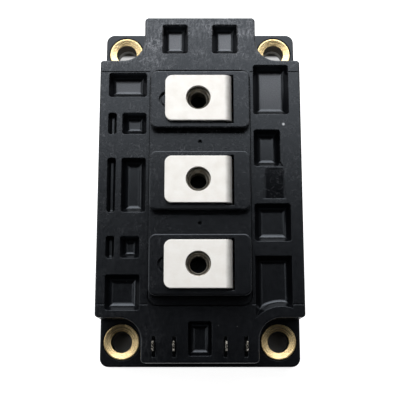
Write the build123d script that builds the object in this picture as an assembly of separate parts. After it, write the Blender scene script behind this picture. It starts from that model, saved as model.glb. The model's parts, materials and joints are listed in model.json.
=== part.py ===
from build123d import *
import math
import os

os.makedirs("parts", exist_ok=True)

# Half-bridge power module, millimetres. Z up, origin on the base plate's underside at the centre
# of the four screw holes. X runs across the module, Y runs along the row of terminals.

# Screw holes and the collars in them
hole_spacing_x = 48.0
hole_spacing_y = 93.0
hole_r = 3.25
collar_r = 5.45
collar_barrel_r = 4.4
collar_head_t = 1.0
collar_gap = 0.25
collar_edge_r = 0.2
collar_dish = 0.4
screw_clear_r = 6.7

# Base plate
base_t = 3.0
base_inset = 0.5
base_corner_r = 2.3

# Housing outline: corner tabs, side walls, top block, control block
tab_margin_x = 6.6
tab_margin_top = 6.8
tab_margin_bottom = 7.5
tab_corner_r = 2.6
tab_top_z = 8.5
side_overhang = 0.4
block_overhang = 0.7
control_setback = 1.0
body_top_z = 21.0
side_corner_r = 1.0
block_corner_r = 1.2
body_edge_r = 0.4

# Hollows inside the housing
cavity_wall_x = 4.0
cavity_wall_end = 2.8
cavity_top_z = 14.0
shaft_ledge = 1.8
ledge_z = 19.0
core_wall = 2.5
core_gap = 1.0
core_roof_z = 14.0
control_core_roof_z = 7.4

# Lid: plate with three raised islands
lid_side_margin = 0.5
lid_end_margin = 2.6
lid_fit = 0.3
lid_corner_r = 3.0
strip_top_z = 24.5
island_top_z = 27.6
island_x = 30.0
island_y = 18.0
island_corner_r = 2.2
island_edge_r = 0.45
lid_skirt = 1.9
lid_plate_t = 2.2
round_mark_r = 0.6
round_mark_depth = 1.2
release_mark_r = 2.4
release_mark_depth = 0.5
release_groove_w = 0.7
release_groove_depth = 1.5
release_mark_offset = 0.4

# Terminal bars
terminal_pitch = 25.0
terminal_w = 14.0
terminal_t = 1.2
terminal_lift = 0.4
terminal_x0 = -10.4
terminal_x1 = 9.5
terminal_hole_x = -0.5
terminal_hole_r = 3.7
terminal_corner_r = 2.1
terminal_bend_r = 2.3
terminal_neck_z = 17.0
terminal_neck_w = 4.6
terminal_foot = 6.0
middle_neck_margin = 0.2
bend_slot_gap = 0.6
bend_slot_side = 0.6

# Terminal nuts, M6
nut_flats = 10.0
nut_h = 5.0
nut_bore_r = 2.5
nut_chamfer = 0.9
nut_drop = 0.4
nut_fit = 0.1
boss_wall = 1.6
screw_room_r = 3.5
screw_room_depth = 4.4
boss_floor = 1.8

# Cored pockets in the top surface
pocket_depth = 2.7
pocket_inset = 1.5
pocket_inset_share = 0.3
pocket_corner_r = 0.9
pocket_floor_r = 1.8
pocket_floor_share = 0.42
arc_floor_r = 1.2
inner_rib = 0.9
left_outer_wall = 2.8
right_outer_wall = 3.6
slot_w = 2.65
slot_rib = 1.65
left_1_y = 31.75
left_1_len = 7.9
left_2_y = 19.3
left_2_len = 6.9
left_3_y = 0.0
left_3_len = 16.9
left_4_y = -19.0
left_4_len = 6.7
left_4_setback = 1.6
left_5_y = -32.5
left_5_len = 10.6
left_5_setback = 1.4
right_1_y = 30.25
right_1_len = 16.1
right_2_y = 11.6
right_2_len = 11.6
right_2_setback = 2.9
right_4_y = -11.5
right_4_len = 11.6
right_5_top_y = -21.6
right_5_wall = 3.2
patch_y = 0.4
patch_len = 9.4
patch_w = 5.3
patch_spread = 0.8
patch_depth = 0.15
patch_from_rib = 3.5
nick_len = 0.9
nick_w = 0.7
nick_lap = 0.1
block_pocket_gap = 3.75
block_pocket_w = 8.1
block_pocket_len = 9.7
block_pocket_margin = 2.3
control_pocket_w = 7.0
control_pocket_len = 10.0
control_pocket_margin = 2.0
control_pocket_depth = 4.0
control_pocket_inset = 0.5
parting_groove_y = 36.0
parting_groove_w = 0.3
parting_groove_depth = 0.3

# Control tabs
tab_inner_x = 7.5
tab_outer_x = 13.5
tab_blade_w = 2.8
tab_blade_t = 0.5
tab_blade_top_z = 28.5
tab_from_edge = 4.7
tab_tip_chamfer = 0.7
tab_eye_r = 0.6
tab_eye_drop = 3.0
tab_run_z = 8.6
tab_run_h = 2.0
tab_pad_w = 2.4
tab_pad_len = 2.4
tab_pad_t = 0.5
tab_pad_setback = 0.2
tab_slot_w = 1.1
tab_slot_len = 6.0
tab_slot_depth = 3.0
shelf_len = 2.8
shelf_t = 2.0
shelf_x = 32.0

# Glue lines
bead_w = 1.2
bead_h = 0.3
bead_margin = 0.6
bead_corner_r = 2.0
lid_bead_w = 0.8

# Substrates and chips
substrate_x = 48.0
substrate_y = 34.0
substrate_y_mid = 18.0
solder_t = 0.2
copper_t = 0.3
ceramic_t = 0.6
copper_inset = 0.5
solder_inset = 0.25
track_gap = 0.8
gate_track_w = 1.0
edge_margin = 1.0
chip_solder_t = 0.1
chip_t = 0.2
igbt_side = 10.0
diode_x = 7.0
diode_y = 9.0
chip_margin = 0.6
chip_gap = 1.2
chip_pitch = 16.0
wire_r = 0.2
wire_sides = 8
wire_pitch = 2.0
wire_reach = 2.0
wire_loop = 2.2
wire_rise = 0.4
wire_top_share = 0.25
wire_stagger = 0.4
wires_per_chip = 4
bridge_margin = 1.2
bridge_inset = 1.0
bridge_pitch = 1.5
gate_mark_inset = 1.0
tab_wire_shift_x = 3.0
tab_wire_ends = [0.8, 2.6, 2.0, 1.2]
gel_top_z = 12.2

hole_x = hole_spacing_x / 2
hole_y = hole_spacing_y / 2
tab_half_x = hole_x + tab_margin_x
tab_top_y = hole_y + tab_margin_top
tab_bottom_y = -hole_y - tab_margin_bottom
side_x = tab_half_x + side_overhang
side_end_y = hole_y - screw_clear_r
block_x = hole_x - screw_clear_r
block_top_y = tab_top_y + block_overhang
control_bottom_y = tab_bottom_y + control_setback
cavity_x = side_x - cavity_wall_x
cavity_y = side_end_y - cavity_wall_end
opening_x = island_x / 2 + lid_side_margin
plate_y = terminal_pitch + island_y / 2
opening_y = plate_y + lid_end_margin
shaft_x = opening_x - shaft_ledge
shaft_y = opening_y - shaft_ledge
shaft_corner_r = lid_corner_r - shaft_ledge
terminal_rows = [terminal_pitch, 0.0, -terminal_pitch]
hole_places = [(-hole_x, hole_y), (hole_x, hole_y), (-hole_x, -hole_y), (hole_x, -hole_y)]
nut_top_z = island_top_z - nut_drop
nut_bottom_z = nut_top_z - nut_h
leg_x0 = terminal_x1 - terminal_t
middle_neck_shift = terminal_neck_w / 2 + middle_neck_margin - terminal_w / 2
tab_y = control_bottom_y + tab_from_edge
solder_z = base_t
bottom_copper_z = solder_z + solder_t
ceramic_z = bottom_copper_z + copper_t
track_z = ceramic_z + ceramic_t
track_top_z = track_z + copper_t
chip_z = track_top_z + chip_solder_t
chip_top_z = chip_z + chip_t
run_top_z = tab_run_z + tab_run_h
pad_top_z = tab_run_z + tab_pad_t


def block(x0, x1, y0, y1, z0, z1):
    return Pos((x0 + x1) / 2, (y0 + y1) / 2, (z0 + z1) / 2) * Box(x1 - x0, y1 - y0, z1 - z0)


def slab(width, length, radius, z0, z1, x=0.0, y=0.0):
    return extrude(Pos(x, y, z0) * RectangleRounded(width, length, radius), z1 - z0)


def disc(radius, z0, z1, x, y):
    return Pos(x, y, (z0 + z1) / 2) * Cylinder(radius, z1 - z0)


def ring(half_x, half_y, width, radius, z0, z1):
    outer = slab(2 * half_x, 2 * half_y, radius, z0, z1)
    return outer - slab(2 * (half_x - width), 2 * (half_y - width), radius - width, z0, z1)


def pocket(x0, x1, y_mid, length, depth=pocket_depth, inset_max=pocket_inset):
    # Pocket with drafted walls, a rounded floor edge and rounded mouth corners.
    width = x1 - x0
    inset = min(inset_max, pocket_inset_share * width)
    floor_w = width - 2 * inset
    x_mid = (x0 + x1) / 2
    mouth = Pos(x_mid, y_mid, body_top_z) * Rectangle(width, length)
    floor = Pos(x_mid, y_mid, body_top_z - depth) * Rectangle(floor_w, length - 2 * inset)
    hollow = loft([mouth, floor], ruled=True)
    bottom = hollow.faces().sort_by(Axis.Z)[0]
    floor_r = min(pocket_floor_r, pocket_floor_share * min(floor_w, length - 2 * inset))
    hollow = fillet(bottom.edges(), floor_r)
    corner_r = min(pocket_corner_r, pocket_floor_share * width)
    return hollow & slab(width, length, corner_r, body_top_z - depth, body_top_z, x_mid, y_mid)


def near(shape_vertices, x, y):
    # The outline's vertex at a corner.
    return [v for v in shape_vertices if math.hypot(v.X - x, v.Y - y) < 0.01]


def save(shape, name):
    export_step(shape, f"parts/{name}.step")
    return shape


# Collars: flanged bushings with a slightly dished face, standing on the base plate
def collar(x, y):
    head = disc(collar_r, tab_top_z - collar_head_t, tab_top_z, x, y)
    barrel = disc(collar_barrel_r, base_t, tab_top_z - collar_head_t, x, y)
    bush = head + barrel - disc(hole_r, base_t, tab_top_z, x, y)
    dish = Cone(hole_r, collar_r - 2 * collar_edge_r, collar_dish)
    bush -= Pos(x, y, tab_top_z - collar_dish / 2) * dish
    rim = bush.edges().filter_by(GeomType.CIRCLE).group_by(Axis.Z)[-1].sort_by(SortBy.RADIUS)[-1]
    return fillet(rim, collar_edge_r)


for number, (x, y) in enumerate(hole_places, 1):
    save(collar(x, y), f"mounting_collar_{number}")

# Base plate
base_len = tab_top_y - tab_bottom_y - 2 * base_inset
base_mid_y = (tab_top_y + tab_bottom_y) / 2
base_plate = slab(2 * (tab_half_x - base_inset), base_len, base_corner_r, 0, base_t, 0, base_mid_y)
for x, y in hole_places:
    base_plate -= disc(hole_r, 0, base_t, x, y)
save(base_plate, "base_plate")


# Control tabs: an upright blade, a run through the wall, and a flat pad on the inner shelf
def control_tab(x):
    blade_y0 = tab_y - tab_blade_w / 2
    blade_y1 = tab_y + tab_blade_w / 2
    x0 = x - tab_blade_t / 2
    x1 = x + tab_blade_t / 2
    blade = block(x0, x1, blade_y0, blade_y1, tab_run_z, tab_blade_top_z)
    tips = [e for e in blade.edges().filter_by(Axis.X) if e.center().Z > tab_blade_top_z - 0.01]
    blade = chamfer(tips, tab_tip_chamfer)
    eye = Rot(0, 90, 0) * Cylinder(tab_eye_r, 2 * tab_blade_t)
    eye = Pos(x, tab_y, tab_blade_top_z - tab_eye_drop) * eye
    pad_y1 = -cavity_y + shelf_len - tab_pad_setback
    pad_y0 = pad_y1 - tab_pad_len
    run = block(x0, x1, blade_y1, pad_y0, tab_run_z, run_top_z)
    pad = block(x - tab_pad_w / 2, x + tab_pad_w / 2, pad_y0, pad_y1, tab_run_z, pad_top_z)
    return blade - eye + run + pad


tab_places = [-tab_outer_x, -tab_inner_x, tab_inner_x, tab_outer_x]
control_tabs = [control_tab(x) for x in tab_places]
for number, tab in enumerate(control_tabs, 1):
    save(tab, f"control_tab_{number}")

# Glue between base plate and housing, and between housing and lid
bead_reach = bead_margin + bead_w
base_bead_top = base_t + bead_h
base_bead = ring(cavity_x + bead_reach, cavity_y + bead_reach, bead_w, bead_corner_r, base_t, base_bead_top)
save(base_bead, "adhesive_bead")
lid_bead_off = (shaft_ledge - lid_bead_w) / 2
lid_bead_x = opening_x - lid_bead_off
lid_bead_y = opening_y - lid_bead_off
lid_bead_r = lid_corner_r - lid_bead_off
lid_bead = ring(lid_bead_x, lid_bead_y, lid_bead_w, lid_bead_r, ledge_z - bead_h, ledge_z)
save(lid_bead, "lid_adhesive")

# Housing outline above the tabs: a cross whose inner corners clear the screw heads
body_len = block_top_y - control_bottom_y
body_mid_y = (block_top_y + control_bottom_y) / 2
outline = Pos(0, body_mid_y) * Rectangle(2 * side_x, body_len)
reach = 2 * tab_margin_x
long_side = reach + screw_clear_r
shift = (reach - screw_clear_r) / 2
for x, y in hole_places:
    sx = math.copysign(1, x)
    sy = math.copysign(1, y)
    outline -= Pos(x, y) * Circle(screw_clear_r)
    outline -= Pos(x + sx * reach / 2, y + sy * shift) * Rectangle(reach, long_side)
    outline -= Pos(x + sx * shift, y + sy * reach / 2) * Rectangle(long_side, reach)
side_corners = []
for sx in (-1, 1):
    for sy in (-1, 1):
        side_corners += near(outline.vertices(), sx * side_x, sy * side_end_y)
outline = fillet(side_corners, side_corner_r)
block_corners = []
for sx in (-1, 1):
    block_corners += near(outline.vertices(), sx * block_x, block_top_y)
    block_corners += near(outline.vertices(), sx * block_x, control_bottom_y)
outline = fillet(block_corners, block_corner_r)
body = extrude(Pos(0, 0, base_t) * outline, body_top_z - base_t)
body = fillet(body.faces().sort_by(Axis.Z)[-1].edges(), body_edge_r)

tabs = slab(2 * tab_half_x, tab_top_y - tab_bottom_y, tab_corner_r, base_t, tab_top_z, 0, base_mid_y)
tabs = fillet(tabs.faces().sort_by(Axis.Z)[-1].edges(), body_edge_r)
housing = body + tabs

cuts = []

# Hollows: chip cavity, shaft up to the lid, cores under both blocks
cuts.append(block(-cavity_x, cavity_x, -cavity_y, cavity_y, base_t, cavity_top_z))
cuts.append(slab(2 * shaft_x, 2 * shaft_y, shaft_corner_r, cavity_top_z, ledge_z))
cuts.append(slab(2 * opening_x, 2 * opening_y, lid_corner_r, ledge_z, body_top_z))
core_x = block_x - core_wall
core_start = cavity_y + bead_reach + core_gap
core_top_y = block_top_y - core_wall
core_bottom_y = control_bottom_y + core_wall
cuts.append(block(-core_x, core_x, core_start, core_top_y, base_t, core_roof_z))
cuts.append(block(-core_x, core_x, core_bottom_y, -core_start, base_t, control_core_roof_z))
cuts.append(base_bead)
cuts.append(lid_bead)
for x, y in hole_places:
    cuts.append(disc(collar_barrel_r, base_t, tab_top_z - collar_head_t, x, y))
    cuts.append(disc(collar_r + collar_gap, tab_top_z - collar_head_t, tab_top_z, x, y))

# Pockets of the left side wall
left_out = -side_x + left_outer_wall
left_in = -opening_x - inner_rib
left_step = left_out + slot_w
left_start = left_step + slot_rib
cuts.append(pocket(left_out, left_in, left_1_y, left_1_len))
cuts.append(pocket(left_out, left_step, left_2_y, left_2_len))
cuts.append(pocket(left_start, left_in, left_2_y, left_2_len))
cuts.append(pocket(left_out, left_step, left_3_y, left_3_len))
cuts.append(pocket(left_start, left_in, left_3_y, left_3_len))
cuts.append(pocket(left_out, left_step, left_4_y, left_4_len))
cuts.append(pocket(left_start, left_in - left_4_setback, left_4_y, left_4_len))
cuts.append(pocket(left_out, left_in - left_5_setback, left_5_y, left_5_len))

# Pockets of the right side wall
right_in = opening_x + inner_rib
right_out = side_x - right_outer_wall
cuts.append(pocket(right_in, right_out, right_1_y, right_1_len))
cuts.append(pocket(right_in, right_out - right_2_setback, right_2_y, right_2_len))
cuts.append(pocket(right_in, right_out, right_4_y, right_4_len))

# Last right pocket: its lower end follows the screw clearance
arc_mouth_len = right_5_top_y + hole_y
arc_mouth = Pos((right_in + right_out) / 2, right_5_top_y - arc_mouth_len / 2)
arc_mouth = arc_mouth * Rectangle(right_out - right_in, arc_mouth_len)
arc_mouth -= Pos(hole_x, -hole_y) * Circle(screw_clear_r + right_5_wall)
arc_mouth = arc_mouth.faces().sort_by(Axis.Y)[-1]
taper = math.degrees(math.atan2(pocket_inset, pocket_depth))
arc_mouth = Pos(0, 0, body_top_z) * arc_mouth
arc_pocket = extrude(arc_mouth, amount=pocket_depth, dir=(0, 0, -1), taper=taper)
arc_pocket = fillet(arc_pocket.faces().sort_by(Axis.Z)[0].edges(), arc_floor_r)
cuts.append(arc_pocket)

# Shallow patch and a nick beside the second right pocket
patch_x = right_in + patch_from_rib
patch_top = patch_y + patch_len / 2
patch_bottom = patch_y - patch_len / 2
patch = Polyline(
    (patch_x, patch_top),
    (patch_x + patch_w, patch_top),
    (patch_x + patch_w + patch_spread, patch_bottom),
    (patch_x - patch_spread, patch_bottom),
    close=True,
)
cuts.append(extrude(Pos(0, 0, body_top_z - patch_depth) * make_face(patch), patch_depth))
nick_x = right_out - right_2_setback
nick_y = right_2_y - right_2_len / 2
nick = Polyline(
    (nick_x - nick_w, nick_y + nick_w),
    (nick_x, nick_y + 2 * nick_w),
    (nick_x + nick_len, nick_y - nick_lap),
    (nick_x - nick_w, nick_y - nick_lap),
    close=True,
)
cuts.append(extrude(Pos(0, 0, body_top_z - nick_w) * make_face(nick), nick_w))

# Pockets of the two blocks
block_pocket_y = block_top_y - block_pocket_margin - block_pocket_len / 2
block_pocket_far = block_pocket_gap + block_pocket_w
for x0 in (-block_pocket_far, block_pocket_gap):
    x1 = x0 + block_pocket_w
    cuts.append(pocket(x0, x1, block_pocket_y, block_pocket_len))
control_pocket_y = control_bottom_y + control_pocket_margin + control_pocket_len / 2
half_w = control_pocket_w / 2
cuts.append(pocket(
    -half_w, half_w, control_pocket_y, control_pocket_len, control_pocket_depth, control_pocket_inset,
))

# Parting grooves across both side walls
groove_z = body_top_z - parting_groove_depth
for y in (-parting_groove_y, parting_groove_y):
    y0 = y - parting_groove_w / 2
    y1 = y + parting_groove_w / 2
    cuts.append(block(-side_x, -opening_x, y0, y1, groove_z, body_top_z))
    cuts.append(block(opening_x, side_x, y0, y1, groove_z, body_top_z))

# Slots for the control tabs
for x in tab_places:
    cuts.append(block(
        x - tab_slot_w / 2,
        x + tab_slot_w / 2,
        tab_y - tab_slot_len / 2,
        tab_y + tab_slot_len / 2,
        body_top_z - tab_slot_depth,
        body_top_z,
    ))
housing -= cuts

# Shelf for the tabs' pads, and the tabs moulded in
shelf_end = -cavity_y + shelf_len
shelf = block(-shelf_x / 2, shelf_x / 2, -cavity_y, shelf_end, tab_run_z - shelf_t, tab_run_z)
housing += shelf
housing -= control_tabs
save(housing, "housing")


# Terminal bars: flat top, bend, leg, neck and soldered foot
def main_terminal(y, shift):
    top_z = island_top_z + terminal_lift + terminal_t / 2
    foot_z = track_top_z + terminal_t / 2
    leg_x = terminal_x1 - terminal_t / 2
    foot_x = leg_x + terminal_foot
    mid_r = terminal_bend_r - terminal_t / 2
    corners = [(terminal_x0, top_z), (leg_x, top_z), (leg_x, foot_z), (foot_x, foot_z)]
    strip = trace(FilletPolyline(*corners, radius=mid_r), line_width=terminal_t)
    bar = extrude(Plane.XZ * strip, terminal_w / 2, both=True)
    bar = Pos(0, y, 0) * bar
    half = terminal_w / 2
    neck_y0 = y + shift - terminal_neck_w / 2
    neck_y1 = y + shift + terminal_neck_w / 2
    bar -= block(0, foot_x, y - half, neck_y0, track_z, terminal_neck_z)
    bar -= block(0, foot_x, neck_y1, y + half, track_z, terminal_neck_z)
    ends = [e for e in bar.edges().filter_by(Axis.Z) if e.center().X < terminal_x0 + 0.01]
    bar = fillet(ends, terminal_corner_r)
    return bar - disc(terminal_hole_r, island_top_z, top_z + terminal_t, terminal_hole_x, y)


neck_shifts = [0.0, middle_neck_shift, 0.0]
terminals = [main_terminal(y, shift) for y, shift in zip(terminal_rows, neck_shifts)]
for number, bar in enumerate(terminals, 1):
    save(bar, f"main_terminal_{number}")


# Nuts
def hexagon(flats, z0, z1, x, y):
    outline = RegularPolygon(flats / 2, 6, major_radius=False, rotation=30)
    return extrude(Pos(x, y, z0) * outline, z1 - z0)


for number, y in enumerate(terminal_rows, 1):
    nut = hexagon(nut_flats, nut_bottom_z, nut_top_z, terminal_hole_x, y)
    nut -= disc(nut_bore_r, nut_bottom_z, nut_top_z, terminal_hole_x, y)
    sink = Cone(nut_bore_r, nut_bore_r + nut_chamfer, nut_chamfer)
    nut -= Pos(terminal_hole_x, y, nut_top_z - nut_chamfer / 2) * sink
    save(nut, f"terminal_nut_{number}")

# Lid
lid_x = opening_x - lid_fit
lid_y = opening_y - lid_fit
lid = slab(2 * lid_x, 2 * lid_y, lid_corner_r - lid_fit, ledge_z, body_top_z)
lid += slab(2 * lid_x, 2 * plate_y, island_corner_r, ledge_z, strip_top_z)
for y in terminal_rows:
    island = slab(island_x, island_y, island_corner_r, strip_top_z - 1, island_top_z, 0, y)
    island = fillet(island.faces().sort_by(Axis.Z)[-1].edges(), island_edge_r)
    lid += island
hollow_x = lid_x - lid_skirt
hollow_y = plate_y - lid_skirt
lid -= block(-hollow_x, hollow_x, -hollow_y, hollow_y, ledge_z, strip_top_z - lid_plate_t)
room_z = nut_bottom_z - screw_room_depth
boss_r = nut_flats / math.sqrt(3) + boss_wall
for y in terminal_rows:
    lid += disc(boss_r, room_z - boss_floor, strip_top_z, terminal_hole_x, y)
for y in terminal_rows:
    lid -= hexagon(nut_flats + 2 * nut_fit, nut_bottom_z, island_top_z, terminal_hole_x, y)
    lid -= disc(screw_room_r, room_z, nut_bottom_z, terminal_hole_x, y)
    lid -= block(
        leg_x0 - bend_slot_side,
        terminal_x1 + bend_slot_gap,
        y - terminal_w / 2 - bend_slot_side,
        y + terminal_w / 2 + bend_slot_side,
        room_z - boss_floor,
        island_top_z,
    )
release_floor_z = island_top_z - release_mark_depth
groove_floor_z = island_top_z - release_groove_depth
for y in (terminal_rows[0], terminal_rows[-1]):
    mark_x = terminal_x0 + release_mark_offset
    groove = disc(release_mark_r, groove_floor_z, release_floor_z, mark_x, y)
    groove -= disc(release_mark_r - release_groove_w, groove_floor_z, release_floor_z, mark_x, y)
    lid -= [groove, disc(release_mark_r, release_floor_z, island_top_z, mark_x, y)]
for y in (-terminal_pitch / 2, terminal_pitch / 2):
    lid -= disc(round_mark_r, strip_top_z - round_mark_depth, strip_top_z, 0, y)
save(lid, "lid")

# Substrates: solder, bottom copper, ceramic and etched tracks on each
half_x = substrate_x / 2
half_y = substrate_y / 2
substrate_rows = [substrate_y_mid, -substrate_y_mid]
track_x0 = -half_x + edge_margin
track_x1 = half_x - edge_margin
gate_x0 = track_x0 + gate_track_w + track_gap
collector_x0 = gate_x0 + gate_track_w + track_gap
igbt_x = collector_x0 + chip_margin + igbt_side / 2
chip_diode_x = igbt_x + igbt_side / 2 + chip_gap + diode_x / 2
collector_x1 = chip_diode_x + diode_x / 2 + chip_margin
emitter_x0 = collector_x1 + track_gap
in_gel = []


def chip(x, y, size_x, size_y, z0, z1):
    return block(x - size_x / 2, x + size_x / 2, y - size_y / 2, y + size_y / 2, z0, z1)


for number, y in enumerate(substrate_rows, 1):
    y0 = y - half_y + edge_margin
    y1 = y + half_y - edge_margin
    inset = copper_inset + solder_inset
    solder = chip(0, y, substrate_x - 2 * inset, substrate_y - 2 * inset, solder_z, bottom_copper_z)
    copper_x = substrate_x - 2 * copper_inset
    copper_y = substrate_y - 2 * copper_inset
    copper = chip(0, y, copper_x, copper_y, bottom_copper_z, ceramic_z)
    ceramic = chip(0, y, substrate_x, substrate_y, ceramic_z, track_z)
    tracks = [
        block(track_x0, track_x0 + gate_track_w, y0, y1, track_z, track_top_z),
        block(gate_x0, gate_x0 + gate_track_w, y0, y1, track_z, track_top_z),
        block(collector_x0, collector_x1, y0, y1, track_z, track_top_z),
    ]
    last_x1 = track_x1 if y > 0 else track_x1 - gate_track_w - track_gap
    tracks.append(block(emitter_x0, last_x1, y0, y1, track_z, track_top_z))
    if y < 0:
        tracks.append(block(track_x1 - gate_track_w, track_x1, y0, y1, track_z, track_top_z))
    save(solder, f"substrate_solder_{number}")
    save(copper, f"substrate_copper_{number}")
    save(ceramic, f"substrate_ceramic_{number}")
    save(Compound(tracks), f"substrate_tracks_{number}")
    in_gel += [solder, copper, ceramic] + tracks

# Chips, four pairs, each on its own solder layer
chip_rows = [y + side * chip_pitch / 2 for y in substrate_rows for side in (-1, 1)]
igbts = [chip(igbt_x, y, igbt_side, igbt_side, chip_z, chip_top_z) for y in chip_rows]
diodes = [chip(chip_diode_x, y, diode_x, diode_y, chip_z, chip_top_z) for y in chip_rows]
joints = [chip(igbt_x, y, igbt_side, igbt_side, track_top_z, chip_z) for y in chip_rows]
joints += [chip(chip_diode_x, y, diode_x, diode_y, track_top_z, chip_z) for y in chip_rows]
save(Compound(igbts), "igbt_chips")
save(Compound(diodes), "diode_chips")
save(Compound(joints), "chip_solder")


# Bond wires: round wire standing on both surfaces, in one loop
def wire(x0, y0, z0, x1, y1, z1):
    top = max(z0, z1) + wire_loop
    step_x = wire_top_share * (x1 - x0)
    step_y = wire_top_share * (y1 - y0)
    points = [
        (x0, y0, z0),
        (x0, y0, z0 + wire_rise),
        (x0 + step_x, y0 + step_y, top),
        (x1 - step_x, y1 - step_y, top),
        (x1, y1, z1 + wire_rise),
        (x1, y1, z1),
    ]
    section = Plane((x0, y0, z0)) * RegularPolygon(wire_r, wire_sides)
    return sweep(section, path=Polyline(points), transition=Transition.RIGHT)


power_wires = []
for y in chip_rows:
    for count in range(wires_per_chip):
        wire_y = y + (count - (wires_per_chip - 1) / 2) * wire_pitch
        on_igbt = igbt_x + igbt_side / 2 - wire_reach
        on_diode = chip_diode_x - diode_x / 2 + wire_reach
        power_wires.append(wire(on_igbt, wire_y, chip_top_z, on_diode, wire_y, chip_top_z))
        off_diode = chip_diode_x + diode_x / 2 - wire_reach + wire_stagger
        on_track = emitter_x0 + wire_reach
        power_wires.append(wire(off_diode, wire_y, chip_top_z, on_track, wire_y, track_top_z))
bridge_y = substrate_y_mid - half_y + edge_margin + bridge_margin
for count in range(wires_per_chip):
    from_x = emitter_x0 + bridge_inset + count * bridge_pitch
    to_x = collector_x1 - bridge_inset - (wires_per_chip - 1 - count) * bridge_pitch
    power_wires.append(wire(from_x, bridge_y, track_top_z, to_x, -bridge_y, track_top_z))

gate_wires = []
first_gate = track_x0 + gate_track_w / 2
second_gate = gate_x0 + gate_track_w / 2
last_track = track_x1 - gate_track_w / 2
gate_mark = igbt_x - igbt_side / 2 + gate_mark_inset
for y in chip_rows:
    start = first_gate if y > 0 else second_gate
    gate_wires.append(wire(start, y, track_top_z, gate_mark, y, chip_top_z))
pad_y = shelf_end - tab_pad_setback - tab_pad_len / 2
low_end = -substrate_y_mid - half_y + edge_margin
tab_wire_xs = [first_gate, second_gate, tab_inner_x + tab_wire_shift_x, last_track]
for x, end_x, step in zip(tab_places, tab_wire_xs, tab_wire_ends):
    gate_wires.append(wire(x, pad_y, pad_top_z, end_x, low_end + step, track_top_z))
gate_wires.append(wire(first_gate, bridge_y, track_top_z, first_gate, -bridge_y, track_top_z))
gate_wires.append(wire(last_track, bridge_y, track_top_z, last_track, -bridge_y, track_top_z))
save(Compound(power_wires), "power_bond_wires")
save(Compound(gate_wires), "gate_bond_wires")

# Gel: fills the cavity round everything up to its level
gel = block(-cavity_x, cavity_x, -cavity_y, cavity_y, base_t, gel_top_z)
in_gel += igbts + diodes + joints + power_wires + gate_wires + terminals + control_tabs
gel -= in_gel + [shelf]
save(gel, "silicone_gel")
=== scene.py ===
import json
import math
import bpy
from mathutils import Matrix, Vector

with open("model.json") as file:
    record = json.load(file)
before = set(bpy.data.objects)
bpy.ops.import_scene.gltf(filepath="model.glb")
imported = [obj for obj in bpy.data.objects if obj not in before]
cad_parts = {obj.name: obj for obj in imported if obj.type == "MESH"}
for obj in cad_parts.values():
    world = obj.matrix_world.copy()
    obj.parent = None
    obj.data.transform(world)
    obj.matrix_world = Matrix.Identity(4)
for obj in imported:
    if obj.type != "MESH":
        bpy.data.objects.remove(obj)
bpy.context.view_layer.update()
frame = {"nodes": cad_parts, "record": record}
nodes = frame["nodes"]
scene = bpy.context.scene

MM = 0.001
PER_M = 1000.0

# Places on the part that its finishes refer to, in millimetres
HOLE_X = 24.0
HOLE_Y = 46.5
BORE_R = 3.3
RIM_Z = 8.1
TOP_Z = 21.0
POCKET_FLOOR_Z = (17.6, 18.0, 18.4, 18.9)
INSET_X = (19.6, 20.2, 25.0, 25.6)
INSET_Y = (6.0, 7.0)
INSET_Z = (20.70, 20.80, 20.90, 20.93)
FLECK = (25.6, 19.1, 21.0)

# Half the footprint of the part, in millimetres: the floor is shaded inside it
FOOT_X = 30.5
FOOT_Y = 54.0

# Each lamp: name, place, target, width, height, radiance
LAMPS = (
    ("high_lamp", (0.0, 0.330, 0.811), (0.0, 0.015, 0.021), 0.90, 0.186, 2.0),
    ("key_lamp", (0.0, 0.657, 0.579), (0.0, 0.015, 0.021), 0.90, 0.65, 4.0),
    ("side_lamp", (-0.65, 0.05, 0.35), (0.0, 0.0, 0.01), 0.40, 0.40, 0.9),
    ("left_panel", (-0.34, 0.050, 0.82), (0.0, -0.03, 0.01), 0.28, 0.22, 1.2),
    ("right_panel", (0.34, 0.050, 0.82), (0.0, -0.03, 0.01), 0.28, 0.22, 0.65),
)

CAMERA_PLACE = (0.0, -0.057, 0.274)
CAMERA_PITCH = 11.68
SENSOR = 36.0
FRAME_PX = 400.0
FOCAL_PX = 857.0


class Nodes:
    """Short calls for the nodes of one tree."""

    def __init__(self, tree):
        self.tree = tree

    def new(self, kind):
        return self.tree.nodes.new("ShaderNode" + kind)

    def put(self, socket, value):
        if isinstance(value, bpy.types.NodeSocket):
            self.tree.links.new(value, socket)
        else:
            socket.default_value = value

    def vector(self, operation, a, b=(0.0, 0.0, 0.0)):
        node = self.new("VectorMath")
        node.operation = operation
        self.put(node.inputs[0], a)
        self.put(node.inputs[1], b)
        return node.outputs["Value" if operation == "LENGTH" else "Vector"]

    def math(self, operation, a, b=0.0, clamp=False):
        node = self.new("Math")
        node.operation = operation
        node.use_clamp = clamp
        self.put(node.inputs[0], a)
        self.put(node.inputs[1], b)
        return node.outputs[0]

    def product(self, first, *others):
        for other in others:
            first = self.math("MULTIPLY", first, other)
        return first

    def split(self, value):
        node = self.new("SeparateXYZ")
        self.put(node.inputs[0], value)
        return node.outputs["X"], node.outputs["Y"], node.outputs["Z"]

    def span(self, value, low, high, to_low=0.0, to_high=1.0, smooth=False):
        node = self.new("MapRange")
        node.interpolation_type = "SMOOTHSTEP" if smooth else "LINEAR"
        self.put(node.inputs["Value"], value)
        node.inputs["From Min"].default_value = low
        node.inputs["From Max"].default_value = high
        node.inputs["To Min"].default_value = to_low
        node.inputs["To Max"].default_value = to_high
        return node.outputs["Result"]


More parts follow.
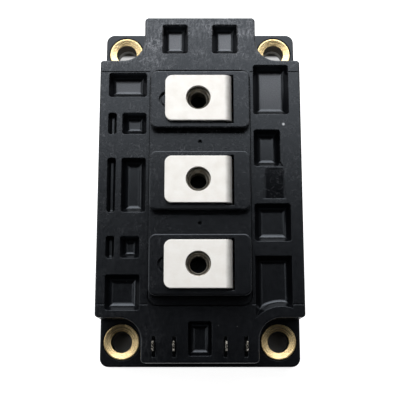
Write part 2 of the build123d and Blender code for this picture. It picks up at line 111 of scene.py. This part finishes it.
class Surface(Nodes):
    """A Principled material whose inputs are worked out from places on the object, in millimetres."""

    def __init__(self, name, metallic=0.0):
        self.material = bpy.data.materials.new(name)
        self.material.use_nodes = True
        super().__init__(self.material.node_tree)
        self.shader = self.tree.nodes["Principled BSDF"]
        self.shader.inputs["Metallic"].default_value = metallic
        self.mm = self.vector("MULTIPLY", self.new("TexCoord").outputs["Object"], (PER_M, PER_M, PER_M))
        self.x, self.y, self.z = self.split(self.mm)
        self.bumps = None

    def stretched(self, scale, turn=0.0):
        node = self.new("Mapping")
        node.inputs["Scale"].default_value = scale
        node.inputs["Rotation"].default_value = (0.0, 0.0, turn)
        self.put(node.inputs["Vector"], self.mm)
        return node.outputs["Vector"]

    def noise(self, scale, detail=3.0, rough=0.5, at=None, twist=0.0):
        node = self.new("TexNoise")
        node.inputs["Scale"].default_value = scale
        node.inputs["Detail"].default_value = detail
        node.inputs["Roughness"].default_value = rough
        node.inputs["Distortion"].default_value = twist
        self.put(node.inputs["Vector"], at if at is not None else self.mm)
        return node.outputs["Fac"]

    def blend(self, factor, first, second):
        node = self.new("Mix")
        node.data_type = "RGBA"
        self.put(node.inputs["Factor"], factor)
        for socket, value in ((node.inputs["A"], first), (node.inputs["B"], second)):
            self.put(socket, value if isinstance(value, bpy.types.NodeSocket) else (*value, 1.0))
        return node.outputs["Result"]

    def colour(self, value):
        self.put(self.shader.inputs["Base Color"], value)

    def roughness(self, value):
        self.put(self.shader.inputs["Roughness"], value)

    def round_edges(self, radius_mm):
        node = self.new("Bevel")
        node.samples = 6
        node.inputs["Radius"].default_value = radius_mm * MM
        self.bumps = node.outputs["Normal"]
        self.put(self.shader.inputs["Normal"], self.bumps)

    def bump(self, height, depth_mm, strength=1.0):
        node = self.new("Bump")
        node.inputs["Strength"].default_value = strength
        node.inputs["Distance"].default_value = depth_mm * MM
        self.put(node.inputs["Height"], height)
        if self.bumps is not None:
            self.put(node.inputs["Normal"], self.bumps)
        self.bumps = node.outputs["Normal"]
        self.put(self.shader.inputs["Normal"], self.bumps)


def scuffs_and_sheen(s):
    """Pale rubbing on the upper faces, partly real wear and partly painted sheen: dense on the block at +Y,
    single marks elsewhere that grow stronger towards +Y.
    """
    # Painted sheen: the rubbing on the block is heavier towards its -X side
    corner = s.span(s.x, -8.0, -14.0, 0.30, 1.0, smooth=True)
    end = s.span(s.y, 45.0, 49.5, 0.0, 0.8, smooth=True)
    block = s.product(s.math("MAXIMUM", corner, end), s.span(s.y, 34.0, 45.0, 0.04, 1.0, smooth=True))
    streaks = s.noise(1.0, 5.0, 0.7, at=s.stretched((1.3, 0.35, 1.0), math.radians(35)))
    smears = s.noise(0.55, 6.0, 0.75, twist=1.8)
    patches = s.span(s.noise(0.16, 3.0, 0.6), 0.42, 0.62, 0.45, 1.0)
    upper = s.span(s.z, TOP_Z - 0.8, TOP_Z - 0.2)
    dense = s.product(s.span(s.math("MAXIMUM", streaks, smears), 0.47, 0.64), block, upper, patches)
    # Painted sheen: the single marks grow stronger towards +Y
    sheen_fade = s.span(s.y, -30.0, 34.0, 0.02, 0.40, smooth=True)
    single = s.product(s.span(smears, 0.52, 0.78), patches, sheen_fade, upper)
    return s.math("ADD", dense, single, clamp=True)


def pocket_floor_sheen(s, grain):
    """Painted sheen on the level floors of the pockets, fainter towards -Y."""
    lowest, low, high, highest = POCKET_FLOOR_Z
    at_floor = s.math("SUBTRACT", s.span(s.z, highest, high), s.span(s.z, low, lowest), clamp=True)
    facing_up = s.span(s.split(s.new("NewGeometry").outputs["Normal"])[2], 0.93, 0.995)
    sheen_fade = s.span(s.y, 8.0, 56.0, 0.0, 1.0, smooth=True)
    return s.product(at_floor, facing_up, sheen_fade, s.span(grain, 0.3, 0.7, 0.6, 1.0))


def specks(s):
    """A few pale grains of dust."""
    cells = s.new("TexVoronoi")
    cells.inputs["Scale"].default_value = 0.55
    s.put(cells.inputs["Vector"], s.mm)
    draw = s.new("SeparateColor")
    s.put(draw.inputs[0], cells.outputs["Color"])
    return s.product(s.span(cells.outputs["Distance"], 0.05, 0.02), s.span(draw.outputs["Red"], 0.90, 0.93))


def wing_inset(s):
    """One inside the shallow inset on the +X wing, nought elsewhere."""
    left, left_in, right_in, right = INSET_X
    bottom, bottom_in, top_in, top = INSET_Z
    inner_y, outer_y = INSET_Y
    return s.product(
        s.span(s.x, left, left_in), s.span(s.x, right, right_in),
        s.span(s.z, top, top_in), s.span(s.z, bottom, bottom_in),
        s.span(s.math("ABSOLUTE", s.y), outer_y, inner_y),
    )


def moulded_black():
    s = Surface("black_moulding")
    s.shader.inputs["Specular Tint"].default_value = (0.82, 0.90, 1.0, 1.0)
    s.round_edges(0.2)
    grain = s.noise(3.0, 4.0, 0.65)
    mottle = s.noise(0.7, 5.0, 0.65)
    cloud = s.noise(0.09, 3.0, 0.5, twist=0.6)
    brushed = s.noise(1.0, 3.0, 0.6, at=s.stretched((3.0, 0.30, 1.0), math.radians(4)))
    scuff_and_sheen_marks = scuffs_and_sheen(s)
    fleck = s.vector("LENGTH", s.vector("SUBTRACT", s.mm, FLECK))
    fleck = s.span(s.math("ADD", fleck, s.math("MULTIPLY", grain, 0.4)), 0.72, 0.42)
    tone = s.blend(s.span(cloud, 0.3, 0.7), (0.0012, 0.0014, 0.0020), (0.0024, 0.0026, 0.0036))
    # Pale rubbing colour, partly real wear and partly painted sheen
    tone = s.blend(s.math("MULTIPLY", scuff_and_sheen_marks, 0.8), tone, (0.340, 0.345, 0.370))
    # Painted sheen: pale grey on the pocket floors
    tone = s.blend(pocket_floor_sheen(s, grain), tone, (0.200, 0.204, 0.220))
    tone = s.blend(s.math("MULTIPLY", specks(s), 0.7), tone, (0.30, 0.30, 0.30))
    s.colour(s.blend(fleck, tone, (0.55, 0.56, 0.58)))
    # The inset on the wing is glossier than the skin round it
    rough = s.math("ADD", s.span(mottle, 0.25, 0.75, 0.21, 0.27), s.math("MULTIPLY", scuff_and_sheen_marks, 0.08))
    s.roughness(s.math("SUBTRACT", rough, s.math("MULTIPLY", wing_inset(s), 0.15)))
    for height in (grain, mottle, brushed):
        s.bump(height, 0.05, 0.25)
    return s.material


def tinned_bar():
    s = Surface("tinned_copper", metallic=0.85)
    s.round_edges(0.18)
    roll = s.noise(1.0, 3.0, 0.6, at=s.stretched((0.5, 12.0, 12.0)))
    cloud = s.noise(0.35, 4.0, 0.6)
    grain = s.noise(7.0, 2.0, 0.5)
    thin = s.span(s.noise(0.8, 5.0, 0.7), 0.66, 0.8)
    tone = s.blend(s.span(cloud, 0.3, 0.75), (0.925, 0.915, 0.89), (0.885, 0.865, 0.83))
    tone = s.blend(s.math("MULTIPLY", thin, 0.4), tone, (0.80, 0.70, 0.58))
    # Painted shade on the outside of the bend
    bend_shade = s.span(s.math("ADD", s.x, cloud), 7.8, 10.0, 0.0, 0.60)
    s.colour(s.blend(bend_shade, tone, (0.20, 0.19, 0.18)))
    s.roughness(s.span(s.math("ADD", roll, cloud), 0.6, 1.4, 0.68, 0.80))
    s.bump(grain, 0.02, 0.3)
    s.bump(roll, 0.03, 0.5)
    return s.material


def tinned_blade():
    s = Surface("tinned_brass", metallic=1.0)
    s.round_edges(0.12)
    dents = s.noise(1.6, 4.0, 0.65, twist=0.5)
    worn = s.span(s.noise(2.2, 4.0, 0.7), 0.44, 0.56)
    s.colour(s.blend(worn, (0.66, 0.63, 0.57), (0.10, 0.09, 0.07)))
    s.roughness(s.span(dents, 0.3, 0.7, 0.14, 0.28))
    s.bump(dents, 0.12, 0.6)
    return s.material


def turned_yellow():
    s = Surface("yellow_metal", metallic=1.0)
    s.round_edges(0.2)
    # Tool rings round each of the four screw holes
    offset = s.vector("SUBTRACT", s.vector("ABSOLUTE", s.mm), (HOLE_X, HOLE_Y, 0.0))
    radius = s.vector("LENGTH", s.vector("MULTIPLY", offset, (1.0, 1.0, 0.0)))
    rings = s.new("TexNoise")
    rings.noise_dimensions = "1D"
    rings.inputs["Scale"].default_value = 6.0
    rings.inputs["Detail"].default_value = 3.0
    s.put(rings.inputs["W"], radius)
    cloud = s.noise(0.5, 4.0, 0.65)
    pits = s.span(s.noise(3.5, 3.0, 0.6), 0.62, 0.8)
    dents = s.noise(1.8, 3.0, 0.6)
    tone = s.blend(s.span(cloud, 0.3, 0.7), (0.96, 0.75, 0.41), (0.92, 0.69, 0.34))
    tone = s.blend(s.math("MULTIPLY", pits, 0.6), tone, (0.34, 0.23, 0.10))
    # Painted shade: the colour goes near black down the bore
    bore_shade = s.product(s.span(s.z, RIM_Z, RIM_Z - 0.5), s.span(radius, BORE_R + 0.1, BORE_R))
    s.colour(s.blend(s.math("MULTIPLY", bore_shade, 0.96), tone, (0.03, 0.02, 0.01)))
    s.roughness(s.span(rings.outputs["Fac"], 0.3, 0.7, 0.22, 0.35))
    s.bump(rings.outputs["Fac"], 0.03, 0.5)
    s.bump(pits, 0.04, -0.5)
    s.bump(dents, 0.16, 0.6)
    return s.material


def plated_nut():
    s = Surface("plated_steel", metallic=0.9)
    s.round_edges(0.15)
    cloud = s.noise(1.2, 4.0, 0.6)
    s.colour(s.blend(s.span(cloud, 0.35, 0.7), (0.36, 0.34, 0.30), (0.20, 0.17, 0.13)))
    s.roughness(s.span(cloud, 0.3, 0.7, 0.28, 0.45))
    # Turns of the thread
    turns = s.new("TexWave")
    turns.wave_type = "BANDS"
    turns.bands_direction = "Z"
    turns.inputs["Scale"].default_value = 0.32
    turns.inputs["Distortion"].default_value = 0.2
    s.put(turns.inputs["Vector"], s.mm)
    s.bump(turns.outputs["Fac"], 0.25, 0.6)
    return s.material


def nickel_base():
    s = Surface("nickel_plate", metallic=1.0)
    s.round_edges(0.2)
    brush = s.noise(1.0, 3.0, 0.6, at=s.stretched((6.0, 0.15, 6.0)))
    cloud = s.noise(0.12, 4.0, 0.6)
    worn = s.span(s.noise(0.6, 5.0, 0.7), 0.62, 0.75)
    tone = s.blend(s.span(cloud, 0.3, 0.7), (0.60, 0.59, 0.55), (0.46, 0.45, 0.42))
    s.colour(s.blend(s.math("MULTIPLY", worn, 0.4), tone, (0.34, 0.30, 0.24)))
    s.roughness(s.span(brush, 0.3, 0.7, 0.26, 0.44))
    s.bump(brush, 0.02, 0.4)
    return s.material


def plain_inner(name, first, second, roughness, metallic, scale, depth):
    """Finish of a piece inside the case: two tones, a varied roughness and a grain of its own scale."""
    s = Surface(name, metallic)
    cloud = s.noise(scale, 4.0, 0.6)
    fine = s.noise(scale * 7, 3.0, 0.6)
    s.colour(s.blend(s.span(cloud, 0.3, 0.7), first, second))
    s.roughness(s.span(fine, 0.3, 0.7, roughness - 0.08, roughness + 0.08))
    s.bump(fine, depth, 0.5)
    return s.material


def clear_gel():
    s = Surface("gel")
    s.shader.inputs["Transmission Weight"].default_value = 0.8
    s.shader.inputs["IOR"].default_value = 1.41
    cloud = s.noise(0.2, 3.0, 0.5)
    s.colour(s.blend(s.span(cloud, 0.3, 0.7), (0.84, 0.84, 0.78), (0.74, 0.73, 0.64)))
    s.roughness(s.span(s.noise(0.6, 3.0, 0.5), 0.3, 0.7, 0.06, 0.16))
    s.bump(cloud, 0.4, 0.4)
    return s.material


# Inner finishes: slot, first tone, second tone, roughness, metallic, scale of the clouds, depth of the grain
INNER = (
    ("sealant", (0.30, 0.30, 0.29), (0.24, 0.24, 0.23), 0.6, 0.0, 0.5, 0.05),
    ("solder", (0.55, 0.55, 0.56), (0.42, 0.42, 0.44), 0.4, 1.0, 0.6, 0.03),
    ("bare_copper", (0.72, 0.38, 0.24), (0.55, 0.28, 0.18), 0.38, 1.0, 0.4, 0.02),
    ("white_ceramic", (0.82, 0.82, 0.78), (0.76, 0.75, 0.70), 0.55, 0.0, 0.8, 0.02),
    ("silicon", (0.24, 0.25, 0.30), (0.16, 0.17, 0.22), 0.2, 0.7, 0.5, 0.005),
    ("bond_aluminium", (0.78, 0.78, 0.80), (0.66, 0.66, 0.68), 0.3, 1.0, 1.5, 0.01),
)

FINISHES = {
    "black_moulding": moulded_black(),
    "nickel_plate": nickel_base(),
    "yellow_metal": turned_yellow(),
    "tinned_copper": tinned_bar(),
    "plated_steel": plated_nut(),
    "tinned_brass": tinned_blade(),
    "gel": clear_gel(),
}
for values in INNER:
    FINISHES[values[0]] = plain_inner(*values)

for part in frame["record"]["subparts"]:
    node = nodes[part["node"]]
    node.data.materials.clear()
    node.data.materials.append(FINISHES[part["material_slot"]])


def pale_floor():
    """White paper that looks white to the camera and keeps the part's shadow."""
    half = 3.0
    corners = [(-half, -half, 0), (half, -half, 0), (half, half, 0), (-half, half, 0)]
    mesh = bpy.data.meshes.new("floor")
    mesh.from_pydata(corners, [], [(0, 1, 2, 3)])
    piece = bpy.data.objects.new("floor", mesh)
    scene.collection.objects.link(piece)
    s = Surface("floor_paper")
    s.roughness(0.9)
    s.shader.inputs["Specular IOR Level"].default_value = 0.1
    # The footprint gets no lift and painted shade: its paper is darker, so the paper seen down the screw
    # holes is dark
    reach = s.math(
        "MAXIMUM",
        s.math("ABSOLUTE", s.math("MULTIPLY", s.x, 1.0 / FOOT_X)),
        s.math("ABSOLUTE", s.math("MULTIPLY", s.y, 1.0 / FOOT_Y)),
    )
    s.colour(s.span(reach, 0.97, 1.0, 0.40, 0.90))
    # Painted light: the paper glows below the two holes at +Y, standing in for light that creeps in under
    # the plate
    hole_glow = s.product(s.span(s.y, HOLE_Y + 2.9, HOLE_Y + 2.0, 0.0, 0.6), s.math("GREATER_THAN", s.y, 40.0))
    lit = s.math("MAXIMUM", s.span(reach, 0.97, 1.0, 0.0, 0.9), hole_glow)
    ray = s.new("LightPath")
    seen = s.math("MAXIMUM", ray.outputs["Is Camera Ray"], ray.outputs["Is Transmission Ray"])
    seen = s.math("MAXIMUM", seen, s.math("MULTIPLY", ray.outputs["Is Glossy Ray"], 0.25))
    glow = s.new("Emission")
    s.put(glow.inputs["Strength"], s.product(seen, lit))
    both = s.new("AddShader")
    s.put(both.inputs[0], s.shader.outputs[0])
    s.put(both.inputs[1], glow.outputs[0])
    s.put(s.tree.nodes["Material Output"].inputs["Surface"], both.outputs[0])
    piece.data.materials.append(s.material)


def room():
    """A white surround behind the part, dark in front and to its right, under a dim ceiling."""
    world = bpy.data.worlds.new("room")
    scene.world = world
    world.use_nodes = True
    w = Nodes(world.node_tree)
    x, y, z = w.split(w.new("TexCoord").outputs["Generated"])
    ramp = w.new("ValToRGB")
    w.put(ramp.inputs["Fac"], z)
    wall, ceiling = ramp.color_ramp.elements
    wall.position = 0.45
    wall.color = (1.0, 1.0, 1.0, 1.0)
    ceiling.position = 0.80
    ceiling.color = (0.03, 0.031, 0.033, 1.0)
    front = w.span(y, -0.75, 0.45, 0.04, 1.0, smooth=True)
    right = w.span(x, 0.25, 0.80, 1.0, 0.12, smooth=True)
    back = w.tree.nodes["Background"]
    w.put(back.inputs["Color"], ramp.outputs["Color"])
    w.put(back.inputs["Strength"], w.math("MULTIPLY", front, right))


def lamp(name, place, target, size_x, size_y, radiance):
    data = bpy.data.lights.new(name, "AREA")
    data.shape = "RECTANGLE"
    data.size = size_x
    data.size_y = size_y
    data.energy = radiance * math.pi * size_x * size_y
    piece = bpy.data.objects.new(name, data)
    piece.location = place
    piece.rotation_euler = (Vector(target) - Vector(place)).to_track_quat("-Z", "Y").to_euler()
    scene.collection.objects.link(piece)


pale_floor()
room()
for values in LAMPS:
    lamp(*values)

camera = bpy.data.objects.new("camera", bpy.data.cameras.new("camera"))
camera.location = CAMERA_PLACE
camera.rotation_euler = (math.radians(CAMERA_PITCH), 0.0, 0.0)
camera.data.sensor_width = SENSOR
camera.data.lens = SENSOR * FOCAL_PX / FRAME_PX
camera.data.clip_start = 0.01
scene.collection.objects.link(camera)
scene.camera = camera

scene.view_settings.view_transform = "Standard"
